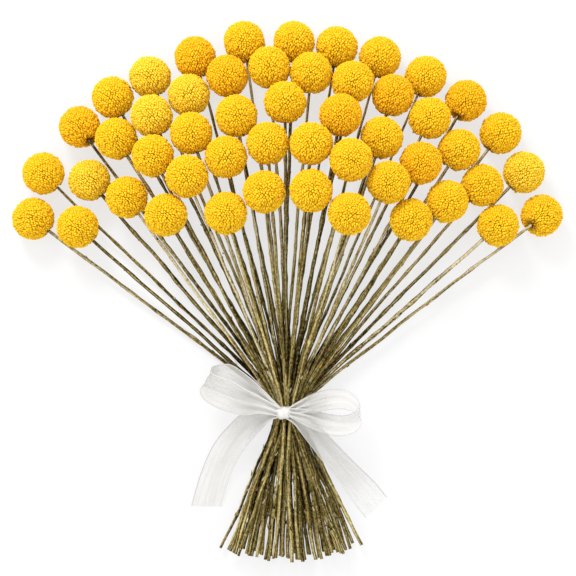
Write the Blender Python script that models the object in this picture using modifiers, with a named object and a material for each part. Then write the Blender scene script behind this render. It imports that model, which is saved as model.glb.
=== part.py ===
"""A tied bunch of fifty dried billy buttons (Craspedia), lying down, as a set of separate solids.

Metres, +Z up. The bunch lies on the plane z = 0 with its heads towards +Y. Every length below is
measured from the tie, which is at x = y = 0 until the whole bunch is centred at the end.
"""
import math
import random

import bmesh
import bpy
from mathutils import Matrix, Quaternion, Vector

MM = 0.001
random.seed(50)

# ---------------------------------------------------------------- driving dimensions
HEAD_RADIUS = 13.7 * MM
FLORET_RELIEF = 1.5 * MM          # how far the florets stand out of the head's core
HEAD_LATTICE = 34                 # points of the lattice that the florets are raised from
DIMPLE = 3.0 * MM                 # depth of the pit that the stem grows out of
FLAT_SPOT = 0.3 * MM              # how far a resting head is flattened
FIT = 0.3 * MM                    # gap between pieces that touch

STEM_RADIUS_FOOT = 1.1 * MM       # at the cut end
STEM_RADIUS_TIE = 1.15 * MM
STEM_RADIUS_TIP = 0.9 * MM        # at the head
STEM_PITCH = 1.95 * MM            # side by side in the tie
LAYER_PITCH = 2.9 * MM            # layer over layer in the tie
LAYER_JITTER = 0.05 * MM          # how unevenly the stems of a layer lie in the tie
LOWEST_LAYER = 2.2 * MM           # height of the lowest layer's centre in the tie
TIE_BEND = 12.0 * MM              # length over which a stem bends in the tie
RISE = 2.2                        # power of y by which a stem rises from the tie to its head
SHOULDER = 14.0 * MM              # distance from the head where the stem turns into it
TIP_DEPTH = 2.5 * MM              # how far the stem reaches into the pit
TIE_STATIONS = (-24, -8, 0, 8, 24)    # y in mm of the points that shape the bend in the tie
UPPER_STATIONS = (0.5, 0.78, 1)   # the same above the tie, as shares of the way to the shoulder
NOD_STATIONS = (0.35, 0.7)        # and of the curve from the shoulder into a nodding head
NOD_SWEEP = 0.08                  # how far a nodding stem runs on before it turns, against its length
BEAD_SPACING = 2.0 * MM           # of the points of a stem that a later head is laid on
FOOT_DEPTH = 100.0 * MM           # the lowest cut ends below the tie, in the middle
FOOT_ARC = 170.0 * MM             # radius of the arc that the cut ends follow
FOOT_LEFT = 44.0 * MM             # how far the cut ends spread to the left of the tie
FOOT_RIGHT = 48.0 * MM            # and to the right
FOOT_MIDDLE = 0.08                # share of the spread that a one-sided layer leaves free in the middle
FOOT_NARROW = 0.88                # spread of the upper layers' cut ends, against FOOT_LEFT
FOOT_STAGGER = 0.4                # share of their spacing by which cut ends stray sideways
FOOT_JITTER = 3.5 * MM            # how unevenly the stems are cut to length

# Places (x, y) of the heads in mm from the tie, a row to a line, outermost row first. Within a row
# they run from left to right.
HEAD_ROWS = (
    ((-168, 126.5), (-161.5, 156.5), (-137, 187), (-115.5, 206.5), (-90.5, 220), (-61, 232.5),
     (-28.5, 242.5), (4.5, 242.5), (32.5, 239.5), (61, 232.5), (91, 220), (118, 204.5), (140.5, 183),
     (156, 157), (167.5, 128.5)),
    ((-137.5, 120.5), (-131, 152), (-112, 178.5), (-88.5, 192.5), (-64.5, 206.5), (-39.5, 218.5),
     (-12, 224), (15.5, 220.5), (42.5, 214.5), (69, 206), (92.5, 191.5), (112, 171.5), (127, 148),
     (138, 121.5)),
    ((-104.5, 140), (-87, 166), (-62, 180.5), (-33, 191), (-1.5, 200), (34, 191), (61, 177.5),
     (86, 161.5), (103.5, 137)),
    ((-78, 127.5), (-64.5, 152), (-39.5, 164.5), (-13, 173), (15, 172.5), (40, 161.5), (64.5, 148),
     (79.5, 124.5)),
    ((-39.5, 128.5), (-15, 141.5), (15, 142), (39, 127.5)),
)
# Heads that nod, so that the stem enters above the widest part: (row, place) -> degrees above level.
NODDING = {(0, 2): 22, (0, 11): 18, (0, 14): 36}

# The ribbon, in mm: (centre, half of its width as a vector) at stations along each strip of the bow.
RIBBON_THICK = 0.6 * MM
WRAP_HALF_WIDTH = 3.0 * MM        # of the turn round the stems, which is gathered
WRAP_SIDES = 24
KNOT_SIZE = Vector((9.5, 8.0, 6.5)) * MM
KNOT_PLACE = Vector((-2.6, -0.7, 24.6)) * MM
LOOP_LEFT = (
    ((-3, -1, 24.8), (0, 2.6, 0)), ((-12, 4.5, 23.4), (1.6, 4.2, 0)), ((-19, 9.7, 21.5), (3, 4.6, 0)),
    ((-30, 15.4, 18.5), (4.2, 7.4, 0)), ((-41, 21.2, 16.8), (4.8, 8.8, 0)),
    ((-49.5, 24.5, 18), (5, 8.4, 0)), ((-52.5, 21.5, 22.8), (4, 8.3, 0)),
    ((-48.2, 16.7, 27.2), (5.2, 8.5, 0)), ((-38.2, 11.4, 29), (4.2, 9.2, 0)),
    ((-28, 6.6, 29), (1.2, 8, 0)), ((-16.5, 4.2, 27.8), (0.8, 5, 0)), ((-5, 0, 26.2), (0, 3, 0)),
)
LOOP_RIGHT = (
    ((0, -0.5, 24.8), (0, 2.8, 0)), ((9, 2.9, 24.6), (-1.2, 4.3, -1.2)),
    ((18, 6.2, 26), (-1.2, 5.8, -4.2)), ((28, 8.5, 27.2), (-0.5, 6.1, -6.8)),
    ((37, 8.4, 27.8), (0, 5.8, -8)), ((44, 5.2, 28.2), (0, 5.4, -8.4)),
    ((47.3, -0.4, 29), (0, 5.3, -8.5)), ((43.8, -5.8, 29.8), (0, 5.4, -8.4)),
    ((36.5, -8.3, 30), (0, 5.6, -8.1)), ((27, -7.6, 29.6), (-0.4, 5.9, -7)),
    ((17, -4.8, 28.6), (-0.4, 5.5, -4.2)), ((8, -2.1, 27.4), (0.4, 4.2, -1.2)),
    ((1, -0.5, 26.5), (0, 3, 0)),
)
TAIL_LEFT = (
    ((-4, -1.5, 24.6), (-1.5, 1.8, 0)), ((-13.3, -2.3, 23.4), (-3.3, 2.9, 0)),
    ((-22.8, -6.5, 20), (-6.2, 5.2, 0)), ((-30, -13.5, 15.5), (-7.8, 4.6, 0)),
    ((-39.8, -26.2, 9), (-9, 3.8, 0)), ((-47.8, -43, 3.8), (-9.9, 1.2, 0)),
    ((-54.6, -65.2, 0.8), (-10, 0, 0)),
)
TAIL_RIGHT = (
    ((-1, -1.5, 25), (1.8, 1.8, 0)), ((7, -4.5, 24.6), (3.2, 3, 0)),
    ((15, -12.3, 22.3), (4.6, 4, -1.5)), ((25.5, -25.3, 16), (4.9, 4.7, -4)),
    ((40.6, -42.6, 7.6), (7, 4.2, -2.6)), ((50, -54, 3), (7.6, 5.8, -0.5)),
    ((59.2, -66, 0.8), (7.2, 7, 0)),
)
STRIP_STEPS = 2                   # spans that each run between stations is cut in

# Layers of stems in the tie, from the surface up: (row, first head, last head, side of the feet, how far
# the feet are set off to the right as a share of their spacing, so that they fill each other's gaps).
# Neighbours swap their feet, so that the stems cross below the tie.
LAYERS = (
    (0, 0, 6, "right", 0.34),
    (0, 7, 14, "left", -0.06),
    (1, 0, 6, "right", 0.53),
    (1, 7, 13, "left", -0.38),
    (2, 0, 8, "both", 0.42),
    (3, 0, 7, "both", 0.2),
    (4, 0, 3, "both", -0.19),
)


# ---------------------------------------------------------------- where everything lies
def soft_ramp(y):
    """Nearly nothing below zero and nearly y above it, with a soft bend between, less its value at zero."""
    return (math.hypot(y, TIE_BEND) + y - TIE_BEND) / 2


def foot_across(side, share):
    """Where the cut end of a layer's stem lies across the bunch: share runs from 0, left, to 1, right."""
    if side == "right":
        return FOOT_RIGHT * (FOOT_MIDDLE + (1 - FOOT_MIDDLE) * share)
    if side == "left":
        return FOOT_LEFT * ((1 - FOOT_MIDDLE) * share - 1)
    return FOOT_LEFT * FOOT_NARROW * (2 * share - 1)


class Stem:
    """One stem: its route from the cut end, through the tie, to the pit in its head."""

    def __init__(self, layer, step):
        row, first, last, side, offset = LAYERS[layer]
        steps = last - first
        self.layer = layer
        self.key = (row, first + step)
        self.slot = (step - steps / 2) * STEM_PITCH
        self.level = LOWEST_LAYER + layer * LAYER_PITCH + random.uniform(-LAYER_JITTER, LAYER_JITTER)
        stray = offset + random.uniform(-FOOT_STAGGER, FOOT_STAGGER)
        place = min(step ^ 1, steps)
        share = (place + stray) / steps if 0 < place < steps else place / steps
        across = foot_across(side, 1 - abs(1 - abs(share)))
        arc_drop = FOOT_ARC - math.sqrt(FOOT_ARC ** 2 - across ** 2)
        self.foot = Vector((across, random.uniform(0, FOOT_JITTER) + arc_drop - FOOT_DEPTH, self.level))

    def aim(self, head):
        """Settle the upper end: the pit in the head and the shoulder below it."""
        to_tie = Vector((self.slot - head.x, -head.y, 0)).normalized()
        slope = math.atan2(RISE * (head.z - self.level), head.length)
        nod = math.radians(NODDING[self.key]) if self.key in NODDING else -slope
        self.pole = to_tie * math.cos(nod) + Vector((0, 0, math.sin(nod)))
        self.tip = head + self.pole * (HEAD_RADIUS - TIP_DEPTH)
        level = min(nod, 0)
        reach = HEAD_RADIUS + SHOULDER
        self.shoulder = head + to_tie * reach * math.cos(level) + Vector((0, 0, reach * math.sin(level)))
        self.solve_leans()

    def solve_leans(self):
        """The leans of the upper and the lower run, so that x passes the shoulder and the foot."""
        up, low = self.shoulder, self.foot
        up_a, up_b = soft_ramp(up.y), soft_ramp(-up.y)
        low_a, low_b = soft_ramp(low.y), soft_ramp(-low.y)
        whole = up_a * low_b - up_b * low_a
        up_x, low_x = up.x - self.slot, low.x - self.slot
        self.lean_up = (up_x * low_b - up_b * low_x) / whole
        self.lean_low = (up_a * low_x - low_a * up_x) / whole

    def at(self, y):
        """The point at y on the two straight runs and the soft bend between them."""
        x = self.slot + self.lean_up * soft_ramp(y) + self.lean_low * soft_ramp(-y)
        share = max(y, 0) / self.shoulder.y
        return Vector((x, y, self.level + (self.shoulder.z - self.level) * share ** RISE))

    def section_reach(self, y, side):
        """How far the stem's section across the tie at y reaches towards a side of the bunch."""
        ahead, behind = self.at(y + MM), self.at(y - MM)
        stretch = math.hypot(1, (ahead.x - behind.x) / (2 * MM))
        centre = self.at(y)
        return side.dot((centre.x, centre.z)) + STEM_RADIUS_TIE * math.hypot(side.x * stretch, side.y)

    def route(self):
        """(point, radius) along the stem, from the cut end to the tip."""
        heights = [self.foot.y] + [y * MM for y in TIE_STATIONS]
        heights += [self.shoulder.y * share for share in UPPER_STATIONS]
        points = [self.at(y) for y in heights]
        if self.key in NODDING:
            run_on = 2 * self.shoulder - self.at(self.shoulder.y * (1 - NOD_SWEEP))
            points += bezier(self.shoulder, run_on, self.tip + self.pole * SHOULDER / 2, self.tip,
                             NOD_STATIONS)
        points.append(self.tip)
        tapered = len(points) - len(TIE_STATIONS)
        radii = [STEM_RADIUS_FOOT] + [STEM_RADIUS_TIE] * len(TIE_STATIONS)
        radii += [STEM_RADIUS_TIE + (STEM_RADIUS_TIP - STEM_RADIUS_TIE) * k / (tapered - 1)
                  for k in range(1, tapered)]
        return list(zip(points, radii))

    def beads(self):
        """Points a short way apart along the stem, with its radius there, to lay later heads on."""
        route = self.route()
        for (a, radius_a), (b, radius_b) in zip(route, route[1:]):
            count = max(1, round((b - a).length / BEAD_SPACING))
            for k in range(count):
                yield a.lerp(b, k / count), radius_a + (radius_b - radius_a) * k / count


def bezier(a, b, c, d, shares):
    """Points on the cubic curve from a to d at the given shares of it."""
    return [a * (1 - t) ** 3 + b * 3 * t * (1 - t) ** 2 + c * 3 * t * t * (1 - t) + d * t ** 3
            for t in shares]


def height_over(x, y, reach, point):
    """The lowest height at (x, y) that is reach away from a point, or nothing where it is clear."""
    beside = (x - point.x) ** 2 + (y - point.y) ** 2
    return point.z + math.sqrt(reach * reach - beside) if beside < reach * reach else 0.0


def settle():
    """Lay the rows down, outermost first: each head rests on the ground, the heads or the stems under it."""
    stems = [Stem(layer, step) for layer, (row, first, last, *feet) in enumerate(LAYERS)
             for step in range(last - first + 1)]
    by_head = {stem.key: stem for stem in stems}
    heads, laid = {}, []
    for row, places in enumerate(HEAD_ROWS):
        for place, (x, y) in enumerate(places):
            x, y = x * MM, y * MM
            height = HEAD_RADIUS - FLAT_SPOT
            for head in heads.values():
                height = max(height, height_over(x, y, 2 * HEAD_RADIUS + FIT, head))
            for point, radius in laid:
                height = max(height, height_over(x, y, HEAD_RADIUS + radius + FIT, point))
            heads[row, place] = Vector((x, y, height))
        for place in range(len(places)):
            stem = by_head[row, place]
            stem.aim(heads[row, place])
            laid.extend(stem.beads())
    return heads, stems


# ---------------------------------------------------------------- building blocks
def material(name, colour, roughness):
    """A Principled material of one plain colour."""
    made = bpy.data.materials.new(name)
    made.use_nodes = True
    shader = made.node_tree.nodes["Principled BSDF"]
    shader.inputs["Base Color"].default_value = (*colour, 1)
    shader.inputs["Roughness"].default_value = roughness
    shader.inputs["Metallic"].default_value = 0
    return made


def add_object(name, mesh, home, finish=None):
    """A mesh as an object of the collection, with its material."""
    thing = bpy.data.objects.new(name, mesh)
    home.objects.link(thing)
    if finish:
        mesh.materials.clear()
        mesh.materials.append(finish)
    return thing


def mesh_from(bm, name):
    """A bmesh as a mesh, with its faces turned out."""
    bmesh.ops.recalc_face_normals(bm, faces=bm.faces)
    mesh = bpy.data.meshes.new(name)
    bm.to_mesh(mesh)
    bm.free()
    return mesh


def evaluated_mesh(thing, name):
    """A copy of the object's mesh with its modifiers applied, in the bunch's own frame."""
    bpy.context.view_layer.update()
    mesh = bpy.data.meshes.new_from_object(thing.evaluated_get(bpy.context.evaluated_depsgraph_get()))
    mesh.transform(thing.matrix_world)
    mesh.name = name
    return mesh


def fused(name, meshes, home, finish):
    """One closed solid from meshes that overlap, by a Boolean union on a collection."""
    extra = bpy.data.collections.new(name + "_pieces")
    bpy.context.scene.collection.children.link(extra)
    for k, mesh in enumerate(meshes[1:]):
        add_object(f"{name}_piece_{k}", mesh, extra)
    body = add_object(name, meshes[0], home)
    union = body.modifiers.new("Union", "BOOLEAN")
    union.operation = "UNION"
    union.operand_type = "COLLECTION"
    union.collection = extra
    union.solver = "EXACT"
    body.data = evaluated_mesh(body, name)
    body.modifiers.clear()
    for thing in list(extra.objects):
        bpy.data.objects.remove(thing)
    bpy.data.collections.remove(extra)
    body.data.materials.clear()
    body.data.materials.append(finish)
    return body


# ---------------------------------------------------------------- heads
def lattice(count):
    """Points spread evenly over a unit ball in a spiral, as florets are, starting at +Z."""
    golden = math.pi * (3 - math.sqrt(5))
    for k in range(count):
        z = 1 - 2 * k / (count - 1)
        ring = math.sqrt(max(0, 1 - z * z))
        yield Vector((ring * math.cos(golden * k), ring * math.sin(golden * k), z))


def head_mesh(name, centre, pole):
    """A ball covered with raised florets, with a pit at the pole that the stem grows out of."""
    turn = pole.to_track_quat("Z", "Y") @ Quaternion((0, 0, 1), random.uniform(0, 2 * math.pi))
    bm = bmesh.new()
    for point in lattice(HEAD_LATTICE):
        bm.verts.new(turn @ point * (HEAD_RADIUS - FLORET_RELIEF))
    bm.verts.ensure_lookup_table()
    pit = bm.verts[0]
    bmesh.ops.convex_hull(bm, input=bm.verts)
    raised = [face for face in bm.faces if pit not in face.verts]
    for floret in bmesh.ops.poke(bm, faces=raised)["verts"]:
        floret.co = floret.co.normalized() * HEAD_RADIUS
    pit.co = pole * (HEAD_RADIUS - DIMPLE)
    for vert in bm.verts:
        vert.co += centre
        vert.co.z = max(vert.co.z, 0)
    return mesh_from(bm, name)


# ---------------------------------------------------------------- stems
def stem_mesh(stem, name):
    """A tapering rod along the stem's route, cut square at the foot."""
    curve = bpy.data.curves.new(name, "CURVE")
    curve.dimensions = "3D"
    curve.bevel_depth = STEM_RADIUS_TIE
    curve.bevel_resolution = 1
    curve.use_fill_caps = True
    route = stem.route()
    spline = curve.splines.new("POLY")
    spline.points.add(len(route) - 1)
    for knot, (point, radius) in zip(spline.points, route):
        knot.co = (*point, 1)
        knot.radius = radius / STEM_RADIUS_TIE
    rod = add_object(name, curve, bpy.context.scene.collection)
    bm = bmesh.new()
    bm.from_mesh(evaluated_mesh(rod, name))
    bpy.data.objects.remove(rod)
    bmesh.ops.remove_doubles(bm, verts=bm.verts, dist=0.01 * MM)
    return mesh_from(bm, name)


# ---------------------------------------------------------------- ribbon
def catmull(a, b, c, d, t):
    """A point between b and c on the smooth curve through all four."""
    return (b * 2 + (c - a) * t + (a * 2 - b * 5 + c * 4 - d) * t * t
            + (b * 3 - a - c * 3 + d) * t ** 3) / 2


def strip_mesh(stations, name):
    """A ribbon of even thickness, lofted smoothly through (centre, half width) stations."""
    pairs = [[Vector(part) * MM for part in station] for station in stations]
    pairs = [pairs[0]] + pairs + [pairs[-1]]
    bm = bmesh.new()
    before = None
    for k in range(len(pairs) - 3):
        last = k == len(pairs) - 4
        for step in range(STRIP_STEPS + last):
            centre, half = (catmull(*ends, step / STRIP_STEPS) for ends in zip(*pairs[k:k + 4]))
            hems = bm.verts.new(centre + half), bm.verts.new(centre - half)
            if before:
                bm.faces.new((before[0], hems[0], hems[1], before[1]))
            before = hems
    bmesh.ops.triangulate(bm, faces=bm.faces)
    return thickened(bm, name, 0)


def thickened(bm, name, offset):
    """A surface made a closed solid of the ribbon's thickness."""
    sheet = add_object(name, mesh_from(bm, name), bpy.context.scene.collection)
    wall = sheet.modifiers.new("Solidify", "SOLIDIFY")
    wall.thickness = RIBBON_THICK
    wall.offset = offset
    wall.use_even_offset = True
    mesh = evaluated_mesh(sheet, name)
    bpy.data.objects.remove(sheet)
    return mesh


def wrap_mesh(stems, name):
    """The turn of the ribbon round the stems, pulled tight over the outermost ones."""
    step = 2 * math.pi / WRAP_SIDES
    sides = [Vector((math.cos(k * step), math.sin(k * step))) for k in range(WRAP_SIDES)]
    bm = bmesh.new()
    rims = []
    for y in (-WRAP_HALF_WIDTH, 0, WRAP_HALF_WIDTH):
        reach = [max(stem.section_reach(y, side) for stem in stems) + FIT for side in sides]
        rims.append([])
        for k, side in enumerate(sides):
            along = (reach[(k + 1) % WRAP_SIDES] - reach[k] * math.cos(step)) / math.sin(step)
            corner = side * reach[k] + Vector((-side.y, side.x)) * along
            rims[-1].append(bm.verts.new((corner.x, y, corner.y)))
    for rim, after in zip(rims, rims[1:]):
        for k in range(WRAP_SIDES):
            beside = (k + 1) % WRAP_SIDES
            bm.faces.new((rim[k], rim[beside], after[beside], after[k]))
    bmesh.ops.triangulate(bm, faces=bm.faces)
    return thickened(bm, name, 1)


def knot_mesh(name):
    """The rounded lump of the knot on top of the stems."""
    bm = bmesh.new()
    bmesh.ops.create_icosphere(bm, subdivisions=2, radius=0.5)
    bmesh.ops.scale(bm, vec=KNOT_SIZE, verts=bm.verts)
    bmesh.ops.translate(bm, vec=KNOT_PLACE, verts=bm.verts)
    return mesh_from(bm, name)


# ---------------------------------------------------------------- the bunch
def main():
    for thing in list(bpy.data.objects):
        bpy.data.objects.remove(thing)
    home = bpy.data.collections.new("billy_buttons_bunch")
    bpy.context.scene.collection.children.link(home)

    floret_yellow = material("floret_yellow", (0.80, 0.44, 0.02), 0.85)
    dried_stem = material("dried_stem", (0.36, 0.29, 0.13), 0.8)
    organza = material("organza", (0.90, 0.90, 0.88), 0.5)

    heads, stems = settle()
    poles = {stem.key: stem.pole for stem in stems}
    for number, (key, centre) in enumerate(heads.items(), start=1):
        name = f"head_{number:02d}"
        add_object(name, head_mesh(name, centre, poles[key]), home, floret_yellow)

    for layer in range(len(LAYERS)):
        name = f"stems_layer_{layer + 1}"
        rods = [stem_mesh(stem, f"{name}_rod") for stem in stems if stem.layer == layer]
        fused(name, rods, home, dried_stem)

    strips = [strip_mesh(strip, "strip") for strip in (LOOP_LEFT, LOOP_RIGHT, TAIL_LEFT, TAIL_RIGHT)]
    fused("ribbon_bow", [wrap_mesh(stems, "wrap"), knot_mesh("knot")] + strips, home, organza)

    centre_on_ground(home)


def centre_on_ground(home):
    """Move the whole bunch so that the middle of its bounding box is over the origin."""
    corners = [thing.matrix_world @ vert.co for thing in home.objects for vert in thing.data.vertices]
    low = [min(corner[axis] for corner in corners) for axis in range(3)]
    high = [max(corner[axis] for corner in corners) for axis in range(3)]
    shift = Vector((-(low[0] + high[0]) / 2, -(low[1] + high[1]) / 2, -low[2]))
    for thing in home.objects:
        thing.data.transform(Matrix.Translation(shift))


if __name__ == "__main__":
    main()
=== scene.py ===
import math
import random

import bmesh
import bpy
import numpy as np
from mathutils import Matrix, Quaternion, Vector, noise


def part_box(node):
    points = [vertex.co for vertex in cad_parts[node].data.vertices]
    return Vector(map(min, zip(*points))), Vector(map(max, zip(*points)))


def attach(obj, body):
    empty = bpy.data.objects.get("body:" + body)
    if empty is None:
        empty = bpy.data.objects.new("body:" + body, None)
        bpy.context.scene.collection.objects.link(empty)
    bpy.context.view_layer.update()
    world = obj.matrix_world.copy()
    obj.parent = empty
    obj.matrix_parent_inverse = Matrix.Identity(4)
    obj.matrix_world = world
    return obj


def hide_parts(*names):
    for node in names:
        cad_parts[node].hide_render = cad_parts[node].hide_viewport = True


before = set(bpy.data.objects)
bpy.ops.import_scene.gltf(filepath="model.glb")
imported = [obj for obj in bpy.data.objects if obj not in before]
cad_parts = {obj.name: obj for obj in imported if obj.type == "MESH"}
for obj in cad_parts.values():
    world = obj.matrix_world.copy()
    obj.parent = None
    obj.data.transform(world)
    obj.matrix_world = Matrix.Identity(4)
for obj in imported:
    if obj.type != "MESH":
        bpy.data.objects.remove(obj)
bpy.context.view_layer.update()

MM = 0.001
random.seed(50)

# ------------------------------------------------------------ sizes shared with the solids
TIE = Vector((0.28, -78.07, 0.0)) * MM     # where the tie lies in the frame
HEAD_RADIUS = 13.7 * MM
STEM_RADIUS_FOOT = 1.1 * MM       # at the cut end
STEM_RADIUS_TIE = 1.15 * MM
STEM_RADIUS_TIP = 0.9 * MM        # at the head
STEM_PITCH = 1.95 * MM            # side by side in the tie
LAYER_PITCH = 2.9 * MM            # layer over layer in the tie
LAYER_JITTER = 0.05 * MM          # how unevenly the stems of a layer lie in the tie
LOWEST_LAYER = 2.2 * MM           # height of the lowest layer's centre in the tie
TIE_BEND = 12.0 * MM              # length over which a stem bends in the tie
RISE = 2.2                        # power of y by which a stem rises from the tie to its head
SHOULDER = 14.0 * MM              # distance from the head where the stem turns into it
TIP_DEPTH = 2.5 * MM              # how far the stem reaches into the pit
NOD_SWEEP = 0.08                  # how far a nodding stem runs on before it turns, against its length
FOOT_DEPTH = 100.0 * MM           # the lowest cut ends below the tie, in the middle
FOOT_ARC = 170.0 * MM             # radius of the arc that the cut ends follow
FOOT_LEFT = 44.0 * MM             # how far the cut ends spread to the left of the tie
FOOT_RIGHT = 48.0 * MM            # and to the right
FOOT_MIDDLE = 0.08                # share of the spread that a one-sided layer leaves free in the middle
FOOT_NARROW = 0.88                # spread of the upper layers' cut ends, against FOOT_LEFT
FOOT_STAGGER = 0.4                # share of their spacing by which cut ends stray sideways
FOOT_JITTER = 3.5 * MM            # how unevenly the stems are cut to length
NODDING = {3: 22, 12: 18, 15: 36}        # head number -> degrees of the stem's pit above level
LAYERS = (                               # first head, last head, side and offset of the feet; lowest first
    (1, 7, "right", 0.34),
    (8, 15, "left", -0.06),
    (16, 22, "right", 0.53),
    (23, 29, "left", -0.38),
    (30, 38, "both", 0.42),
    (39, 46, "both", 0.2),
    (47, 50, "both", -0.19),
)


# ------------------------------------------------------------ node helpers
class Shader:
    """A material's node tree, built a node at a time."""

    def __init__(self, name):
        self.material = bpy.data.materials.new(name)
        self.material.use_nodes = True
        self.tree = self.material.node_tree
        self.surface = self.tree.nodes["Principled BSDF"]

    def set(self, **values):
        for name, value in values.items():
            self.surface.inputs[name.replace("_", " ")].default_value = value

    def feed(self, name, socket):
        self.tree.links.new(socket, self.surface.inputs[name])

    def node(self, kind, inputs=(), **settings):
        made = self.tree.nodes.new(kind)
        for name, value in settings.items():
            setattr(made, name, value)
        for name, value in dict(inputs).items():
            if isinstance(value, bpy.types.NodeSocket):
                self.tree.links.new(value, made.inputs[name])
            else:
                made.inputs[name].default_value = value
        return made

    def attribute(self, name):
        return self.node("ShaderNodeAttribute", attribute_name=name).outputs["Fac"]

    def coordinates(self):
        return self.node("ShaderNodeTexCoord").outputs["Object"]

    def noise(self, vector, scale, detail=3.0, rough=0.55):
        made = self.node("ShaderNodeTexNoise", {"Vector": vector, "Scale": scale, "Detail": detail,
                                                "Roughness": rough})
        return made.outputs["Fac"]

    def math(self, operation, a, b=0.0, clamp=False):
        made = self.node("ShaderNodeMath", {0: a, 1: b}, operation=operation)
        made.use_clamp = clamp
        return made.outputs[0]

    def ramp(self, factor, *stops):
        made = self.node("ShaderNodeValToRGB", {"Fac": factor})
        ramp = made.color_ramp
        while len(ramp.elements) < len(stops):
            ramp.elements.new(0.5)
        for element, (place, colour) in zip(ramp.elements, stops):
            element.position = place
            element.color = (*colour, 1) if len(colour) == 3 else colour
        return made.outputs["Color"]

    def mix(self, factor, a, b, blend="MIX"):
        made = self.node("ShaderNodeMix", data_type="RGBA", blend_type=blend)
        for socket, value in zip((made.inputs[0], made.inputs[6], made.inputs[7]), (factor, a, b)):
            if isinstance(value, bpy.types.NodeSocket):
                self.tree.links.new(value, socket)
            elif socket is made.inputs[0]:
                socket.default_value = value
            else:
                socket.default_value = (*value, 1)
        return made.outputs[2]

    def bump(self, height, distance, strength=1.0):
        made = self.node("ShaderNodeBump", {"Height": height, "Distance": distance, "Strength": strength})
        self.feed("Normal", made.outputs["Normal"])


def grey(value):
    return (value, value, value)


def clamp(value):
    return min(1.0, max(0.0, value))


# ------------------------------------------------------------ materials
def floret_material(name, deep, middle, tip):
    """Dry florets, yellow at their tips, with painted shade: ochre down their sides and brown in the gaps.
    """
    shader = Shader(name)
    rise = shader.attribute("rise")
    tone = shader.attribute("tone")
    place = shader.coordinates()
    # painted shade by rise: brown deep in the gaps, ochre down the sides, yellow at the tips
    colour = shader.ramp(rise, (0.0, deep), (0.55, middle), (1.0, tip))
    mottle = shader.noise(place, 160.0)
    shade = shader.math("ADD", shader.math("MULTIPLY", mottle, 0.5), shader.math("MULTIPLY", tone, 0.55))
    colour = shader.mix(shader.ramp(shade, (0.30, grey(0.55)), (0.75, grey(0.0))), colour, middle)
    brown = shader.ramp(shader.attribute("brown"), (0.0, grey(0)), (1.0, grey(0.85)))
    colour = shader.mix(brown, colour, deep)
    shader.feed("Base Color", colour)
    shader.bump(shader.noise(place, 2600.0, 2.0), 0.12 * MM, 0.5)
    shader.set(Roughness=0.9, Specular_IOR_Level=0.10, Sheen_Weight=0.04, Sheen_Roughness=0.6)
    return shader.material


def stem_material():
    """Dry ribbed stalk, olive and khaki with orange-brown flecks in its bark; painted light on one side,
    painted shade in the crowd and grooves, specks of painted highlight.
    """
    shader = Shader("dried_stem_fibre")
    around, along, tint = (shader.attribute(name) for name in ("around", "along", "tint"))

    def drawn_out(*scales):
        """A place on the bark, drawn out along the stalk and other for each stalk."""
        places = [shader.math("MULTIPLY", value, scale)
                  for value, scale in zip((around, along, tint), scales)]
        return shader.node("ShaderNodeCombineXYZ", zip("XYZ", places)).outputs[0]

    fibre = drawn_out(0.3, 150.0, 37.0)
    bark = shader.noise(fibre, 3.4, 5.0, 0.78)
    groove = shader.noise(drawn_out(1.1, 30.0, 53.0), 1.0, 3.0)
    level = shader.math("MULTIPLY", shader.math("SUBTRACT", bark, 0.5), 1.65)
    level = shader.math("ADD", level, shader.math("MULTIPLY", shader.math("SUBTRACT", groove, 0.5), 1.1))
    # painted shade: a little darker in the grooves between the ribs, lighter on the ribs
    level = shader.math("ADD", level, shader.math("MULTIPLY", shader.attribute("rib"), 0.10))
    # painted light on the stalk's lit side, dimmed as painted shade where it lies crowded and low in the
    # bunch
    level = shader.math("ADD", level, shader.math("MULTIPLY", shader.attribute("painted_light"), 0.56))
    level = shader.math("ADD", level, shader.math("MULTIPLY", tint, 0.25))
    colour = shader.ramp(level, (0.225, (0.007, 0.005, 0.0008)), (0.445, (0.076, 0.057, 0.012)),
                         (0.64, (0.268, 0.212, 0.064)), (0.95, (0.66, 0.58, 0.28)))
    patch = shader.noise(fibre, 0.7, 2.0)
    pale = shader.math("MULTIPLY", shader.attribute("pale"), patch)
    pale = shader.math("MULTIPLY", pale, level)
    colour = shader.mix(shader.ramp(pale, (0.19, grey(0)), (0.48, grey(0.85))), colour, (0.72, 0.65, 0.43))
    # pale specks scattered over the bark, as painted highlights
    highlight_speck = shader.noise(fibre, 6.0, 1.0)
    colour = shader.mix(shader.ramp(highlight_speck, (0.68, grey(0)), (0.73, grey(0.7))), colour, (0.66, 0.59, 0.36))
    fleck = shader.noise(fibre, 4.5, 1.0)
    fleck = shader.math("ADD", fleck, shader.math("MULTIPLY", tint, 0.07))
    colour = shader.mix(shader.ramp(fleck, (0.66, grey(0)), (0.71, grey(0.8))), colour, (0.40, 0.17, 0.03))
    shader.feed("Base Color", colour)
    shader.bump(bark, 0.8 * MM, 1.0)
    shader.set(Roughness=0.8, Specular_IOR_Level=0.06)
    return shader.material


def pith_material():
    """The pale spongy pith of a cut end, with its darker rind."""
    shader = Shader("cut_pith")
    speckle = shader.noise(shader.coordinates(), 1800.0, 2.0)
    colour = shader.ramp(speckle, (0.3, (0.45, 0.36, 0.18)), (0.7, (0.82, 0.74, 0.52)))
    shader.feed("Base Color", colour)
    shader.set(Roughness=0.95, Specular_IOR_Level=0.1)
    return shader.material


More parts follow.
